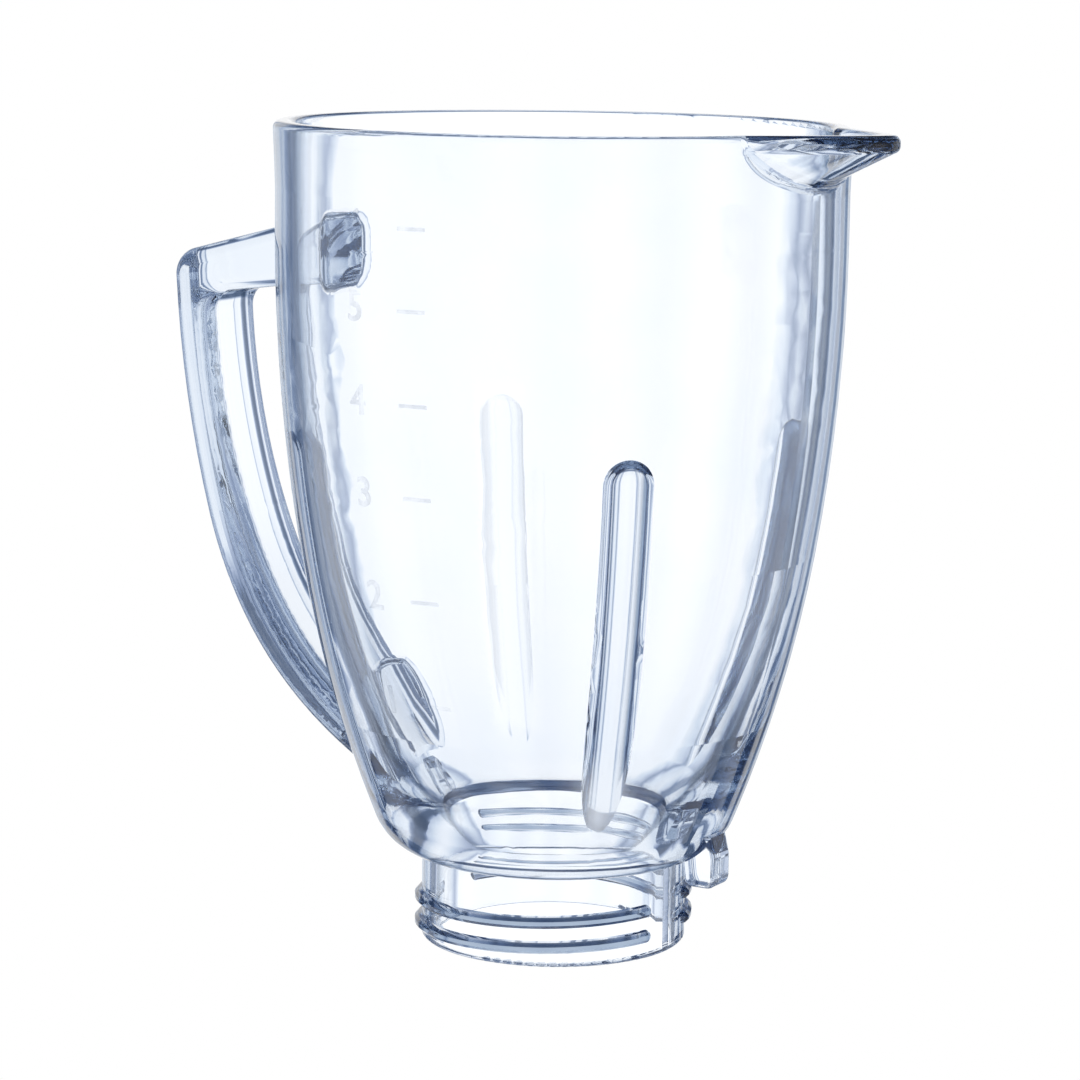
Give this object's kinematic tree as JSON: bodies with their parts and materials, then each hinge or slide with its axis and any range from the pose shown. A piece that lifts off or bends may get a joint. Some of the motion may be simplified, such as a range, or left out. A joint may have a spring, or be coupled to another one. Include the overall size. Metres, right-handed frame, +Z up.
{
  "type": "blender jar",
  "caption": "Clear pressed-glass blender jar with a pouring spout, a loop handle, inside stirring ribs and a threaded neck for a blade collar.",
  "frame": {"origin": "on the neck axis, in the plane of the seal face that the jar stands on", "axes": "+Z up the jar's axis to the mouth, +X towards the spout, -X towards the handle"},
  "size_m": [0.201, 0.1418, 0.204],
  "materials": {
    "clear_glass": "gloss"
  },
  "bodies": {
    "root": {"glass_jar": "clear_glass"}
  },
  "joints": []
}
